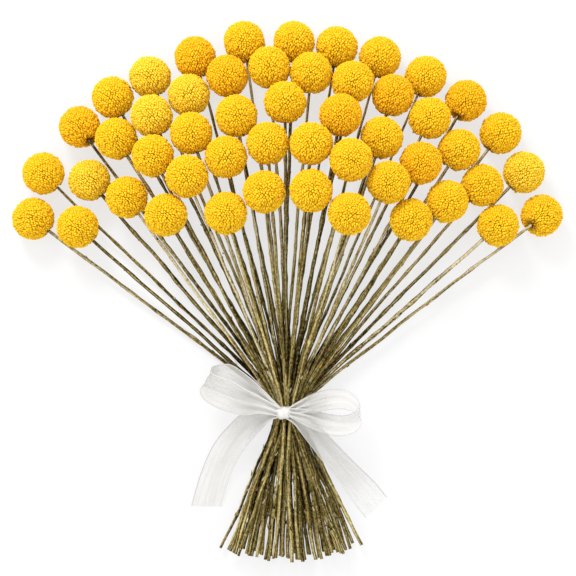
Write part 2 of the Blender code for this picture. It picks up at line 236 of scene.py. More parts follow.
def organza_material():
    """Sheer white organza: a fine open weave, denser where it is gathered, with a close hem on each edge;
    its colour carries painted shade and painted light, one hem lighter than the other.
    """
    shader = Shader("organza_weave")
    place = shader.node("ShaderNodeUVMap", uv_map="cloth").outputs["UV"]
    across = shader.node("ShaderNodeSeparateXYZ", {0: place}).outputs["Y"]
    from_edge = shader.math("SUBTRACT", 0.5, shader.math("ABSOLUTE", shader.math("SUBTRACT", across, 0.5)))
    hem = shader.ramp(from_edge, (0.022, grey(1)), (0.034, grey(0)))
    # painted light and shade on the hems: the hem at one edge lighter, the one at the other darker
    edge = shader.ramp(across, (0.45, (0.64, 0.635, 0.62)), (0.55, (0.50, 0.493, 0.48)))
    threads = [shader.node("ShaderNodeTexWave", {"Vector": place, "Scale": 20.0, "Distortion": 0.4},
                           bands_direction=run).outputs["Fac"] for run in "XY"]
    weave = shader.math("MAXIMUM", *threads)
    drawn = shader.node("ShaderNodeVectorMath", {0: place, 1: (0.35, 3.2, 1)}, operation="MULTIPLY")
    thin = shader.noise(drawn.outputs[0], 3.0, 4.0)
    sight = shader.math("ADD", shader.math("MULTIPLY", thin, 0.18), shader.math("MULTIPLY", weave, 0.05))
    sight = shader.math("ADD", sight, shader.math("MULTIPLY", hem, 0.32))
    gap = shader.math("SUBTRACT", 0.82, sight, True)
    gap = shader.math("POWER", gap, shader.attribute("gather"))
    shader.feed("Alpha", shader.math("SUBTRACT", 1.0, gap))
    # painted shade and light by how see-through the cloth is: darker mid-run for the doubled loops, lighter
    # at the clearest end for the shadowed right tail
    shade = shader.ramp(gap, (0.0, (0.64, 0.632, 0.610)), (0.15, (0.63, 0.618, 0.592)),
                        (0.45, (0.51, 0.497, 0.466)), (0.62, (0.54, 0.528, 0.502)),
                        (0.70, (0.64, 0.633, 0.612)), (0.77, (0.74, 0.735, 0.718)))
    shader.feed("Base Color", shader.mix(hem, shade, edge))
    shader.set(Roughness=0.55, Specular_IOR_Level=0.20)
    return shader.material


def floor_material():
    shader = Shader("studio_white")
    shader.set(Base_Color=(0.22, 0.22, 0.22, 1), Roughness=1.0, Specular_IOR_Level=0.0,
               Emission_Color=(1, 1, 1, 1), Emission_Strength=0.68)
    return shader.material


YELLOWS = {                       # colours in the gaps and down the florets' sides, darkened as painted shade, and at their tips
    "bright": ((0.25, 0.100, 0.001), (0.75, 0.395, 0.003), (0.94, 0.655, 0.018)),
    "orange": ((0.24, 0.085, 0.001), (0.74, 0.350, 0.002), (0.935, 0.595, 0.012)),
    "pale": ((0.27, 0.115, 0.002), (0.77, 0.440, 0.008), (0.94, 0.725, 0.056)),
}
FLORETS = {finish: floret_material(f"florets_{finish}", *colours) for finish, colours in YELLOWS.items()}
ORANGE_HEADS = (3, 6, 12, 21, 25, 35, 37)
PALE_HEADS = (5, 14, 17, 19, 20)


# ------------------------------------------------------------ mesh helpers
ABOVE_SURFACE = 0.02 * MM         # the lowest that heads and stalks may lie


def finished(mesh, name, node_names, materials):
    """A mesh as a piece that replaces its solids."""
    mesh.materials.clear()
    for material in materials:
        mesh.materials.append(material)
    piece = bpy.data.objects.new(name, mesh)
    bpy.context.scene.collection.objects.link(piece)
    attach(piece, "root")
    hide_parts(*node_names)
    return piece


def smooth(bm):
    for face in bm.faces:
        face.smooth = True


# ------------------------------------------------------------ flower heads
FLORETS_A_HEAD = 840
FLORET_JITTER = 0.55              # how far a floret strays from its even place, against their spacing
FLORET_ROUND = 50                 # percent of a side that is cut off at each corner of a floret
FLORET_WELD = 0.02 * MM
FLORET_LENGTH = 3.5 * MM
FLORET_SHAFT = 0.84               # share of its length below the rim of its top
FLORET_POINT = 0.42 * MM          # how far the middle of its top stands over the rim
FLORET_PROUD = 0.45 * MM          # how far one of full length would stand out of the solid's ball
FLORET_OVER = 0.15                # mm by which the longest shafts pass the usual one
FLORET_SHORT = 1.5                # mm by which the shortest fall short of those, towards the stem
CROWN_SHORT = 0.6                 # mm less than that on the crown
FEW_SHORT = 1.6                   # a higher power leaves fewer short ones
FLORET_FLARE = 1.02               # width of a floret's top against its base
CROWN_FLARE = 0.17                # added to that on the crown, where the florets close up
RIDGE = 0.50                      # how much their tops are drawn out towards the stem, into ridges
CLUMP = 0.18 * MM                 # how far neighbouring florets stand out together
CLUMP_GRAIN = 5.5
LEAN = 0.50                       # mm by which neighbouring florets lean together
LEAN_GRAIN = 7.0
OWN_LEAN = 0.16                   # mm by which each leans on its own
# The run of colours by rise is painted shade, darkest in the gaps; on the crown the gaps get less of it.
RISE_BASE = 0.38                  # where a floret's base on the crown lies in the run of its colours
RISE_RIM = 0.75                   # and the rim of its top
RISE_TIP = 1.0
PIT_ANGLE = 0.24                  # radians from the stem within which the florets sink
PIT_DEPTH = 3.2 * MM
BROWN_FROM = 0.90                 # height on a ball of radius 1 at which the browning round the pit sets in
BROWN_OVER = 0.08                 # and over which it grows full
HEAD_TURN = 2.4                   # radians from head to head, so that no two show the same side
LUMP_WAVES = 5
LUMP_HEIGHT = 0.008               # of each wave, against the radius


def lattice(count, jitter):
    """Points spread evenly over a unit ball in a spiral from +Z, each moved a little at random."""
    golden = math.pi * (3 - math.sqrt(5))
    step = math.sqrt(4 * math.pi / count)
    for k in range(count):
        z = 1 - (2 * k + 1) / count
        ring = math.sqrt(1 - z * z)
        point = Vector((ring * math.cos(golden * k), ring * math.sin(golden * k), z))
        yield (point + noise.random_unit_vector() * step * jitter * random.random()).normalized()


def crown_share(facing):
    """How near a direction from the ball's middle is to the crown, opposite the pit: 0 to 1."""
    return clamp(0.5 - facing.z)


def floret_ball(seed):
    """A ball of florets about the origin, with its pit at +Z."""
    noise.seed_set(seed)
    bm = bmesh.new()
    core = HEAD_RADIUS + FLORET_PROUD - FLORET_LENGTH
    for point in lattice(FLORETS_A_HEAD, FLORET_JITTER):
        bm.verts.new(point * core)
    bmesh.ops.convex_hull(bm, input=bm.verts)
    bmesh.ops.bevel(bm, geom=bm.verts[:], affect="VERTICES", offset=FLORET_ROUND, offset_type="PERCENT",
                    segments=1, profile=0.5, material=-1)
    bmesh.ops.remove_doubles(bm, verts=bm.verts, dist=FLORET_WELD)
    bmesh.ops.recalc_face_normals(bm, faces=bm.faces)
    rise = bm.verts.layers.float.new("rise")
    tone = bm.verts.layers.float.new("tone")
    for vert in bm.verts:
        vert[rise] = RISE_BASE * crown_share(vert.co.normalized())
    columns = [face for face in bm.faces if len(face.verts) > 3]
    bmesh.ops.inset_individual(bm, faces=columns, thickness=FLORET_WELD,
                               depth=FLORET_LENGTH * FLORET_SHAFT, use_even_offset=True)
    for face in columns:
        centre = face.calc_center_median()
        facing = centre.normalized()
        crown = crown_share(facing)
        ridge = (Vector((0, 0, 1)) - facing * facing.z).normalized() * RIDGE * (1 - crown)
        flare = FLORET_FLARE + CROWN_FLARE * crown
        shorter = FLORET_SHORT - CROWN_SHORT * crown
        stretch = (FLORET_OVER - shorter * random.random() ** FEW_SHORT) * MM
        stretch += CLUMP * noise.noise(facing * CLUMP_GRAIN)
        lean = noise.noise_vector(facing * LEAN_GRAIN) * LEAN * MM
        lean += noise.random_unit_vector() * OWN_LEAN * MM
        shade = random.random()
        for vert in face.verts:
            across = vert.co - centre
            drawn = ridge * across.dot(ridge.normalized())
            vert.co = centre + across * flare + drawn + facing * stretch + lean
            vert[rise] = RISE_RIM
            vert[tone] = shade
    for vert in bmesh.ops.poke(bm, faces=columns)["verts"]:
        vert.co += vert.co.normalized() * FLORET_POINT
        vert[rise] = RISE_TIP
        vert[tone] = random.random()
    for vert in bm.verts:
        angle = vert.co.angle(Vector((0, 0, 1)))
        if angle < PIT_ANGLE:
            sink = (1 + math.cos(math.pi * angle / PIT_ANGLE)) / 2
            vert.co -= vert.co.normalized() * PIT_DEPTH * sink
    smooth(bm)
    mesh = bpy.data.meshes.new(f"floret_ball_{seed}")
    bm.to_mesh(mesh)
    bm.free()
    return mesh


def lumps(directions, seed):
    """A gentle unevenness of a head, as a factor for each direction."""
    draw = np.random.default_rng(seed)
    factor = np.ones(len(directions))
    for _ in range(LUMP_WAVES):
        axis = draw.normal(size=3)
        axis /= np.linalg.norm(axis)
        height = draw.uniform(-LUMP_HEIGHT, LUMP_HEIGHT)
        factor += height * np.cos(draw.uniform(2, 4) * directions @ axis + draw.uniform(0, 6))
    return factor


def head_centre(number):
    low, high = (Vector(corner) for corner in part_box(f"head_{number:02d}"))
    return (low + high) / 2


def make_head(number, ball, centre, pole):
    """One head: a ball of florets turned so that its pit faces its stem."""
    mesh = ball.copy()
    points = np.empty(len(mesh.vertices) * 3, np.float32)
    mesh.vertices.foreach_get("co", points)
    points = points.reshape(-1, 3).astype(float)
    directions = points / np.linalg.norm(points, axis=1, keepdims=True)
    brown = np.clip((directions[:, 2] - BROWN_FROM) / BROWN_OVER, 0, 1)
    points *= lumps(directions, number)[:, None]
    turn = pole.to_track_quat("Z", "Y") @ Quaternion((0, 0, 1), number * HEAD_TURN)
    points = points @ np.array(turn.to_matrix()).T + np.array(centre)
    points[:, 2] = np.maximum(points[:, 2], ABOVE_SURFACE)
    mesh.vertices.foreach_set("co", points.astype(np.float32).ravel())
    mesh.attributes.new("brown", "FLOAT", "POINT").data.foreach_set("value", brown.astype(np.float32))
    mesh.update()
    finish = "orange" if number in ORANGE_HEADS else "pale" if number in PALE_HEADS else "bright"
    finished(mesh, f"florets_{number:02d}", [f"head_{number:02d}"], [FLORETS[finish]])


# ------------------------------------------------------------ stems
def soft_ramp(y):
    """Nearly nothing below zero and nearly y above it, with a soft bend between, less its value at zero."""
    return (math.hypot(y, TIE_BEND) + y - TIE_BEND) / 2


def foot_across(side, share):
    """Where the cut end of a layer's stem lies across the bunch: share runs from 0, left, to 1, right."""
    if side == "right":
        return FOOT_RIGHT * (FOOT_MIDDLE + (1 - FOOT_MIDDLE) * share)
    if side == "left":
        return FOOT_LEFT * ((1 - FOOT_MIDDLE) * share - 1)
    return FOOT_LEFT * FOOT_NARROW * (2 * share - 1)


class Stem:
    """One stem's route, as in the solids, from the cut end through the tie to the pit in its head."""

    def __init__(self, layer, step):
        first, last, side, offset = LAYERS[layer]
        steps = last - first
        self.layer = layer
        self.number = first + step
        self.slot = (step - steps / 2) * STEM_PITCH
        self.level = LOWEST_LAYER + layer * LAYER_PITCH + random.uniform(-LAYER_JITTER, LAYER_JITTER)
        stray = offset + random.uniform(-FOOT_STAGGER, FOOT_STAGGER)
        place = min(step ^ 1, steps)
        share = (place + stray) / steps if 0 < place < steps else place / steps
        across = foot_across(side, 1 - abs(1 - abs(share)))
        arc_drop = FOOT_ARC - math.sqrt(FOOT_ARC ** 2 - across ** 2)
        self.foot = Vector((across, random.uniform(0, FOOT_JITTER) + arc_drop - FOOT_DEPTH, self.level))

    def aim(self, head):
        """Settle the upper end on its head, which is given from the tie."""
        to_tie = Vector((self.slot - head.x, -head.y, 0)).normalized()
        slope = math.atan2(RISE * (head.z - self.level), head.length)
        nods = self.number in NODDING
        nod = math.radians(NODDING[self.number]) if nods else -slope
        self.pole = to_tie * math.cos(nod) + Vector((0, 0, math.sin(nod)))
        self.tip = head + self.pole * (HEAD_RADIUS - TIP_DEPTH)
        level = min(nod, 0)
        reach = HEAD_RADIUS + SHOULDER
        self.shoulder = head + to_tie * reach * math.cos(level) + Vector((0, 0, reach * math.sin(level)))
        up, low = self.shoulder, self.foot
        up_a, up_b = soft_ramp(up.y), soft_ramp(-up.y)
        low_a, low_b = soft_ramp(low.y), soft_ramp(-low.y)
        whole = up_a * low_b - up_b * low_a
        up_x, low_x = up.x - self.slot, low.x - self.slot
        self.lean_up = (up_x * low_b - up_b * low_x) / whole
        self.lean_low = (up_a * low_x - low_a * up_x) / whole

    def at(self, y):
        """The point at y on the two straight runs and the soft bend between them."""
        x = self.slot + self.lean_up * soft_ramp(y) + self.lean_low * soft_ramp(-y)
        share = max(y, 0) / self.shoulder.y
        return Vector((x, y, self.level + (self.shoulder.z - self.level) * share ** RISE))

    def section_reach(self, y, side):
        """How far the stem's section across the tie at y reaches towards a side of the bunch."""
        ahead, behind = self.at(y + MM), self.at(y - MM)
        stretch = math.hypot(1, (ahead.x - behind.x) / (2 * MM))
        centre = self.at(y)
        return side.dot((centre.x, centre.z)) + STEM_RADIUS_TIE * math.hypot(side.x * stretch, side.y)

    def line(self):
        """A fine polyline of the route in the frame."""
        count = round((self.shoulder.y - self.foot.y) / STEM_STEP)
        points = [self.at(self.foot.y + (self.shoulder.y - self.foot.y) * k / count)
                  for k in range(count + 1)]
        if self.number in NODDING:
            run_on = 2 * self.shoulder - self.at(self.shoulder.y * (1 - NOD_SWEEP))
            turn_out = self.tip + self.pole * SHOULDER / 2
            points += [bezier(self.shoulder, run_on, turn_out, self.tip, t / 5) for t in range(1, 6)]
        else:
            points += [self.shoulder.lerp(self.tip, t / 4) for t in range(1, 5)]
        return [point + TIE for point in points]


def bezier(a, b, c, d, t):
    return a * (1 - t) ** 3 + b * 3 * t * (1 - t) ** 2 + c * 3 * t * t * (1 - t) + d * t ** 3


OUTER_GAP = 4.5 * MM              # the outermost stems stand off from the rest
FOOT_SHIFT = 6.0 * MM             # how far a cut end may be moved sideways from its solid's
FOOT_BOW = 1.3 * MM               # how far a stem may be bowed below the tie, to spread them evenly
FOOT_CROSS = 2.0 * MM             # how far its own bend takes it across its neighbours
BOW_LENGTH = 92                   # mm of the stem below the tie that is bowed
STEM_STEP = 4.5 * MM              # from ring to ring of a stalk
STEM_SIDES = 8
CAP_NEAR = 2 * MM                 # how near its cut end the middle of its end face lies
TAPER_LENGTH = 200 * MM           # above the tie, over which a stalk gets slimmer
NOISE_APART = 3.7                 # from one stalk's unevenness to the next one's
STEM_GIRTH = (0.92, 1.16)         # the slimmest and the stoutest stem, against the solids
STEM_WAVE = 0.45 * MM             # how far a stem wanders from its straight run
WAVE_LENGTH = 42 * MM
STEM_KINK = 0.15 * MM             # how sharply it is crooked at its nodes
KINK_LENGTH = 12 * MM
FOOT_WANDER = 1.8                 # how much more it does both below the tie
HELD_BY_TIE = 45 * MM             # length over which it comes free of the tie
HELD_BY_HEAD = 30 * MM            # and of its head
FLAKY_ABOVE = 40 * MM             # how far above the tie the stalks are still knotty
FIRST_NODE = (12, 26)             # mm from the cut end
KNOTTY_GAPS = (5, 14)             # mm between nodes where the stalks are knotty
PLAIN_GAPS = (8, 22)              # and higher up
BARE_NECK = 25 * MM               # below the head, without nodes
NODE_LENGTH = 3.2 * MM
NODE_SWELL = 0.36
GIRTH_WAVE = 0.10                 # how unevenly thick a stem is
GIRTH_WAVE_LENGTH = 9 * MM
FOOT_SLIM = 0.05                  # how much slimmer it is below the tie
FOOT_SLIM_LENGTH = 20             # mm over which it becomes so
RIB_OUT, RIB_IN = 1.05, 0.93      # radius on a rib and between two
# the side of a stalk that is painted lighter, as painted light from above and the left
PAINTED_LIT_SIDE = Vector((-0.55, 0.25, 0.80)).normalized()
PITH_INSET = 0.16 * MM
PITH_DEPTH = 0.10 * MM
FLAKES_KNOTTY = 0.8               # share of the nodes that still have their bract
FLAKES_PLAIN = 0.4
FLAKE_LENGTH = (1.8, 4.0)         # mm
FLAKE_SMALL = 0.6                 # size of the bracts above the knotty part
FLAKE_BASE = 0.85 * MM
FLAKE_END = 0.25 * MM
FLAKE_FLAT = 0.5                  # its thickness against its width
FLAKE_CURL = 0.35
FLAKE_SUNK = 0.95                 # where it grows from, against the stalk's radius
# what a bract gives the stalks' layers: pale, rib and its painted light
FLAKE_PALE, FLAKE_RIB, FLAKE_PAINTED_LIGHT = 0.9, 0.8, 0.6
CROWD_FULL = 1.4                  # over 1, so that the stalks are fully crowded for some way from the tie
CROWD_ABOVE = 70                  # mm above the tie over which the crowding falls by 1
CROWD_BELOW = 95                  # and below it
BUNCH_HALF = 8                    # mm from the middle of the bunch to its side in the tie
BUNCH_WIDENS_ABOVE = 1.35         # and how much it grows for each mm from the tie
BUNCH_WIDENS_BELOW = 0.45
OPEN_FROM = 0.72                  # share of the way to the side where stalks begin to stand in the open
OPEN_OVER = 0.10
OPEN_LIGHT = 0.75                 # share of the crowding that they lose
SHADE_LOWEST = 0.72               # how much of the light crowded stalks lose in the lowest layer
SHADE_LESS = 0.58                 # and how much less in the top one
PALE_LEAST = 0.12
PALE_OWN = 0.15                   # what a stalk of its own adds to that, at most
PALE_UP = 0.22                    # and what comes with height, from the cut end to the head
PALE_NECK = 0.8                   # share of the way up where the paler neck begins
STALK_LAYERS = ("along", "around", "tint", "pale", "rib", "painted_light")     # what the stalks' material reads


def is_knotty(place):
    """Whether a place along a stalk, counted from its cut end, lies in its knotty part."""
    return place < FOOT_DEPTH + FLAKY_ABOVE


def crowding(point, from_tie):
    """How deep a place lies among the stalks, and so in their shade: 1 in the tie, 0 out in the open."""
    crowd = min(1.0, max(0.0, CROWD_FULL - from_tie / CROWD_ABOVE), CROWD_FULL + from_tie / CROWD_BELOW)
    side = (BUNCH_WIDENS_BELOW if from_tie < 0 else BUNCH_WIDENS_ABOVE) * abs(from_tie) + BUNCH_HALF
    off_middle = abs(point.x - TIE.x) / MM / side
    return crowd * (1 - OPEN_LIGHT * clamp((off_middle - OPEN_FROM) / OPEN_OVER))


def sideways(stem, point, phase, length, whole):
    """How far a stalk strays sideways from its route at a length from its cut end."""
    free = min(1.0, abs(point.y - TIE.y) / HELD_BY_TIE) * min(1.0, (whole - length) / HELD_BY_HEAD)
    stray = noise.noise(phase + Vector((0, length / WAVE_LENGTH, 0))) * STEM_WAVE * 2 * free
    stray += noise.noise(phase + Vector((7, length / KINK_LENGTH, 0))) * STEM_KINK * 2 * free
    stray *= FOOT_WANDER if point.y < TIE.y else 1.0
    return stray + stem.bow * math.sin(math.pi * clamp(-(point.y - TIE.y) / MM / BOW_LENGTH))


def thickness(phase, from_tie, length, nodes):
    """The stalk's uneven thickness and its swellings at the nodes, as a factor."""
    factor = 1 - FOOT_SLIM * clamp(-from_tie / FOOT_SLIM_LENGTH)
    factor *= 1 + GIRTH_WAVE * noise.noise(phase + Vector((0, length / GIRTH_WAVE_LENGTH, 5)))
    return factor * (1 + NODE_SWELL * max(0.0, max(1 - abs(length - node) / NODE_LENGTH for node in nodes)))


def stem_rod(stem):
    """One ribbed, slightly wandering stalk with its nodes, extruded ring by ring from its cut end."""
    line = stem.line()
    lengths = [0.0]
    for a, b in zip(line, line[1:]):
        lengths.append(lengths[-1] + (b - a).length)
    whole = lengths[-1]
    nodes = []
    place = random.uniform(*FIRST_NODE) * MM
    while place < whole - BARE_NECK:
        nodes.append(place)
        place += random.uniform(*(KNOTTY_GAPS if is_knotty(place) else PLAIN_GAPS)) * MM

    bm = bmesh.new()
    along, around, tint, pale, rib, painted_light = (bm.verts.layers.float.new(name) for name in STALK_LAYERS)
    bmesh.ops.create_circle(bm, cap_ends=True, segments=STEM_SIDES, radius=1.0)
    cap = bm.faces[:][0]
    tone = random.random()
    pallor = random.random()
    girth = random.uniform(*STEM_GIRTH)
    turn = random.uniform(0, 2 * math.pi)
    phase = Vector((stem.number * NOISE_APART, 0, 0))
    for k, (point, length) in enumerate(zip(line, lengths)):
        if k:
            grown = bmesh.ops.extrude_face_region(bm, geom=[cap])["geom"]
            if k > 1:
                bmesh.ops.delete(bm, geom=[cap], context="FACES_ONLY")
            cap = next(item for item in grown if isinstance(item, bmesh.types.BMFace))
        ahead = line[min(k + 1, len(line) - 1)] - line[max(k - 1, 0)]
        ahead.normalize()
        side = ahead.cross(Vector((0, 0, 1))).normalized()
        up = side.cross(ahead)
        share = length / whole
        from_tie = (point.y - TIE.y) / MM
        stray = sideways(stem, point, phase, length, whole)
        # painted shade for stalks crowded in the bunch, deepest in the lowest layer
        shade = SHADE_LOWEST - SHADE_LESS * stem.layer / (len(LAYERS) - 1)
        light = 1 - crowding(point, from_tie) * shade
        radius = radius_at(point.y - TIE.y) * girth * thickness(phase, from_tie, length, nodes)
        for j, vert in enumerate(cap.verts):
            angle = turn + 2 * math.pi * j / STEM_SIDES
            out = side * math.cos(angle) + up * math.sin(angle)
            vert.co = point + side * stray + out * radius * (RIB_OUT if j % 2 else RIB_IN)
            # marks the ribs, which the material paints lighter than the grooves, as painted shade
            vert[rib] = j % 2
            # painted light: lighter on the side facing PAINTED_LIT_SIDE, times the painted shade of the
            # crowd
            vert[painted_light] = (0.5 + 0.5 * out.dot(PAINTED_LIT_SIDE)) * light
            vert[along] = length
            vert[around] = j if j < STEM_SIDES / 2 else STEM_SIDES - j
            vert[tint] = tone
            vert[pale] = PALE_LEAST + PALE_OWN * pallor + share * (PALE_UP + pallor ** 3)
            vert[pale] += max(0.0, share - PALE_NECK)
    return bm, line, lengths, nodes


def radius_at(y):
    """The taper of a stalk: stoutest in the tie, slimmest at its head."""
    if y < 0:
        return STEM_RADIUS_TIE + (STEM_RADIUS_FOOT - STEM_RADIUS_TIE) * min(1.0, -y / FOOT_DEPTH)
    return STEM_RADIUS_TIE + (STEM_RADIUS_TIP - STEM_RADIUS_TIE) * min(1.0, y / TAPER_LENGTH)


def finish_rod(bm, line):
    """Close the cut end with its pith, and return the rod as a mesh."""
    bmesh.ops.recalc_face_normals(bm, faces=bm.faces)
    smooth(bm)
    start = [face for face in bm.faces if len(face.verts) == STEM_SIDES
             and (face.calc_center_median() - line[0]).length < CAP_NEAR]
    for face in start:
        face.material_index = 1
        face.smooth = False
    bmesh.ops.inset_region(bm, faces=start, thickness=PITH_INSET, depth=-PITH_DEPTH)
    mesh = bpy.data.meshes.new("rod")
    bm.to_mesh(mesh)
    bm.free()
    return mesh


def flake(line, lengths, place):
    """A small dry bract that peels off the stalk at a node."""
    k = max(1, min(len(line) - 2, sum(length < place for length in lengths)))
    point = line[k]
    ahead = (line[k + 1] - line[k - 1]).normalized()
    spin = Quaternion(ahead, random.uniform(0, 2 * math.pi))
    out = spin @ ahead.cross(Vector((0, 0, 1))).normalized()
    size = random.uniform(*FLAKE_LENGTH) * MM * (FLAKE_SMALL if point.y > TIE.y + FLAKY_ABOVE else 1.0)
    bm = bmesh.new()
    bmesh.ops.create_cone(bm, cap_ends=True, segments=6, radius1=FLAKE_BASE, radius2=FLAKE_END, depth=size)
    for vert in bm.verts:
        share = vert.co.z / size + 0.5
        vert.co.x = vert.co.x * FLAKE_FLAT + size * FLAKE_CURL * share * share
    upright = Matrix((out, ahead.cross(out), ahead)).transposed().to_4x4()
    lift = radius_at(point.y - TIE.y) * FLAKE_SUNK
    bmesh.ops.transform(bm, matrix=Matrix.Translation(point + out * lift) @ upright, verts=bm.verts)
    values = (place, random.uniform(0, STEM_SIDES / 2), random.random(), FLAKE_PALE, FLAKE_RIB, FLAKE_PAINTED_LIGHT)
    for name, value in zip(STALK_LAYERS, values):
        layer = bm.verts.layers.float.new(name)
        for vert in bm.verts:
            vert[layer] = value
    bmesh.ops.recalc_face_normals(bm, faces=bm.faces)
    smooth(bm)
    mesh = bpy.data.meshes.new("flake")
    bm.to_mesh(mesh)
    bm.free()
    return mesh


def make_layer(layer, stems, materials):
    """The stalks of one layer in the tie, as one piece."""
    whole = bmesh.new()
    for stem in stems:
        bm, line, lengths, nodes = stem_rod(stem)
        parts = [finish_rod(bm, line)]
        parts += [flake(line, lengths, node) for node in nodes
                  if random.random() < (FLAKES_KNOTTY if is_knotty(node) else FLAKES_PLAIN)]
        for part in parts:
            whole.from_mesh(part)
            bpy.data.meshes.remove(part)
    for vert in whole.verts:
        vert.co.z = max(vert.co.z, ABOVE_SURFACE)
    mesh = bpy.data.meshes.new(f"stalks_{layer + 1}")
    whole.to_mesh(mesh)
    whole.free()
    finished(mesh, f"stalks_{layer + 1}", [f"stems_layer_{layer + 1}"], materials)


def even_out(stems):
    """Part the cut ends that would lie on top of each other, so that they fill the fan."""
    row = sorted(stems, key=lambda stem: stem.foot.x)
    left, right = row[0].foot.x + OUTER_GAP, row[-1].foot.x - OUTER_GAP
    for k, stem in enumerate(row[1:-1]):
        gap = left + (right - left) * k / (len(row) - 3) - stem.foot.x
        stem.foot.x += max(-FOOT_SHIFT, min(FOOT_SHIFT, gap))


def bow_out(stems):
    """Bow the stems below the tie, so that they fill the fan there too, each with some bend of its own."""
    middles = {stem.number: stem.at(-FOOT_DEPTH / 2).x for stem in stems}
    row = sorted(stems, key=lambda stem: middles[stem.number])
    left, right = middles[row[0].number], middles[row[-1].number]
    for k, stem in enumerate(row):
        gap = left + (right - left) * k / (len(row) - 1) - middles[stem.number]
        stem.bow = max(-FOOT_BOW, min(FOOT_BOW, gap)) + random.uniform(-1, 1) * FOOT_CROSS


# ------------------------------------------------------------ ribbon
RIBBON_WIDTH = 20.0 * MM
# Each strip's stations, from the knot on: its middle and half its width, in mm from the tie.
LOOP_LEFT = (
    ((-3, -1, 24.8), (0, 2.6, 0)), ((-12, 4.5, 23.4), (1.6, 4.2, 0)), ((-19, 9.7, 21.5), (3, 4.6, 0)),
    ((-30, 15.4, 18.5), (4.2, 7.4, 0)), ((-41, 21.2, 16.8), (4.8, 8.8, 0)),
    ((-49, 23.5, 18), (6.4, 7.2, 0)), ((-53.2, 20.3, 22.8), (3.8, 8.6, 0)),
    ((-49.8, 15.4, 27.2), (1.8, 9.4, 0)), ((-39, 11, 29), (2.6, 9.6, 0)),
    ((-28, 6.6, 29), (1.4, 8.2, 0)), ((-16.5, 4.2, 27.8), (0.8, 5, 0)), ((-5, 0, 26.2), (0, 3, 0)),
)
LOOP_RIGHT = (
    ((0, -0.5, 24.8), (0, 2.8, 0)), ((9, 2.9, 24.6), (-1.2, 4.3, -1.2)),
    ((18, 6.2, 26), (-1.2, 5.8, -4.2)), ((28, 8.5, 27.2), (-0.5, 6.1, -6.8)),
    ((37, 8.4, 27.8), (0, 5.8, -8)), ((44, 5.2, 28.2), (0, 5.4, -8.4)),
    ((47.3, -0.4, 29), (0, 5.3, -8.5)), ((43.8, -5.8, 29.8), (0, 5.4, -8.4)),
    ((36.5, -8.3, 30), (0, 5.6, -8.1)), ((27, -7.6, 29.6), (-0.4, 5.9, -7)),
    ((17, -4.8, 28.6), (-0.4, 5.5, -4.2)), ((8, -2.1, 27.4), (0.4, 4.2, -1.2)),
    ((1, -0.5, 26.5), (0, 3, 0)),
)
TAIL_LEFT = (
    ((-4, -1.5, 24.6), (-1.5, 1.8, 0)), ((-13.3, -2.3, 23.4), (-3.3, 2.9, 0)),
    ((-22.8, -6.5, 20), (-6.2, 5.2, 0)), ((-30, -13.5, 15.5), (-7.8, 4.6, 0)),
    ((-39.8, -26.2, 9), (-9, 3.8, 0)), ((-47.8, -43, 3.8), (-9.9, 1.2, 0)),
    ((-54.6, -65.2, 0.8), (-10, 0, 0)),
)
TAIL_RIGHT = (
    ((-1, -1.5, 25), (1.8, 1.8, 0)), ((7, -4.5, 24.6), (3.2, 3, 0)),
    ((15, -12.3, 22.3), (4.6, 4, -1.5)), ((25.5, -25.3, 16), (4.9, 4.7, -4)),
    ((40.6, -42.6, 7.6), (7, 4.2, -2.6)), ((50, -54, 3), (7.6, 5.8, -0.5)),
    ((59.2, -66, 0.8), (7.2, 7, 0)),
)
STRIP_STEPS = 8                   # rows of cloth from station to station
STRIP_ACROSS = 28                 # and faces across it


def catmull(a, b, c, d, t):
    """A point between b and c on the smooth curve through all four."""
    return (b * 2 + (c - a) * t + (a * 2 - b * 5 + c * 4 - d) * t * t
            + (b * 3 - a - c * 3 + d) * t ** 3) / 2


def along_stations(stations, share):
    """(centre, half width) at a share of the way along a strip."""
    pairs = [[Vector(part) * MM for part in station] for station in stations]
    pairs = [pairs[0]] + pairs + [pairs[-1]]
    place = share * (len(stations) - 1)
    k = min(int(place), len(stations) - 2)
    return [catmull(*ends, place - k) for ends in zip(*pairs[k:k + 4])]


CLOTH_THICK = 0.08 * MM
PLEAT_REACH = 35.0 * MM           # how far from the knot its pleats still run
PLEAT_HEIGHT = 1.2 * MM           # at most
SOFT_WAVE = 0.22 * MM
RIBBON_LOWEST = 0.25 * MM
STATION_NUDGE = 0.01              # share of a strip from which its direction is taken
FOLD_DRIFT = 2.0                  # radians by which the folds shift from one end of a strip to the other
GATHER_SLACK = 2.4                # how much squeezing the cloth thickens it
GATHER_KNOT = 2.0                 # and how much the pull of the knot does
CLOSE_GATHER = 8.0                # the gather of cloth drawn together so tightly that it is opaque
WRAP_GATHER = 6.0
KNOT_SIZE = Vector((10.4, 8.2, 6.5)) * MM
KNOT_PLACE = Vector((-2.6, -0.7, 24.6)) * MM
WRAP_WIDTH = 6.4 * MM
WRAP_CREASE = 0.16 * MM
WRAP_STEPS, WRAP_ACROSS = 120, 14
WRAP_WELD = 0.002 * MM
FIT = 0.3 * MM                    # gap between pieces that touch, as in the solids


def cloth_part(bm, gather, whole, thick=CLOTH_THICK):
    """Give a length of cloth its thickness and add it to the bow."""
    layer = bm.verts.layers.float.new("gather")
    for vert, value in zip(bm.verts, gather):
        vert[layer] = value
    bmesh.ops.recalc_face_normals(bm, faces=bm.faces)
    if thick:
        bmesh.ops.solidify(bm, geom=bm.faces[:], thickness=thick)
        bmesh.ops.recalc_face_normals(bm, faces=bm.faces)
    smooth(bm)
    for edge in bm.edges:
        edge.smooth = edge.calc_face_angle(0) < 1.0
    mesh = bpy.data.meshes.new("cloth_part")
    bm.to_mesh(mesh)
    bm.free()
    whole.from_mesh(mesh)
    bpy.data.meshes.remove(mesh)


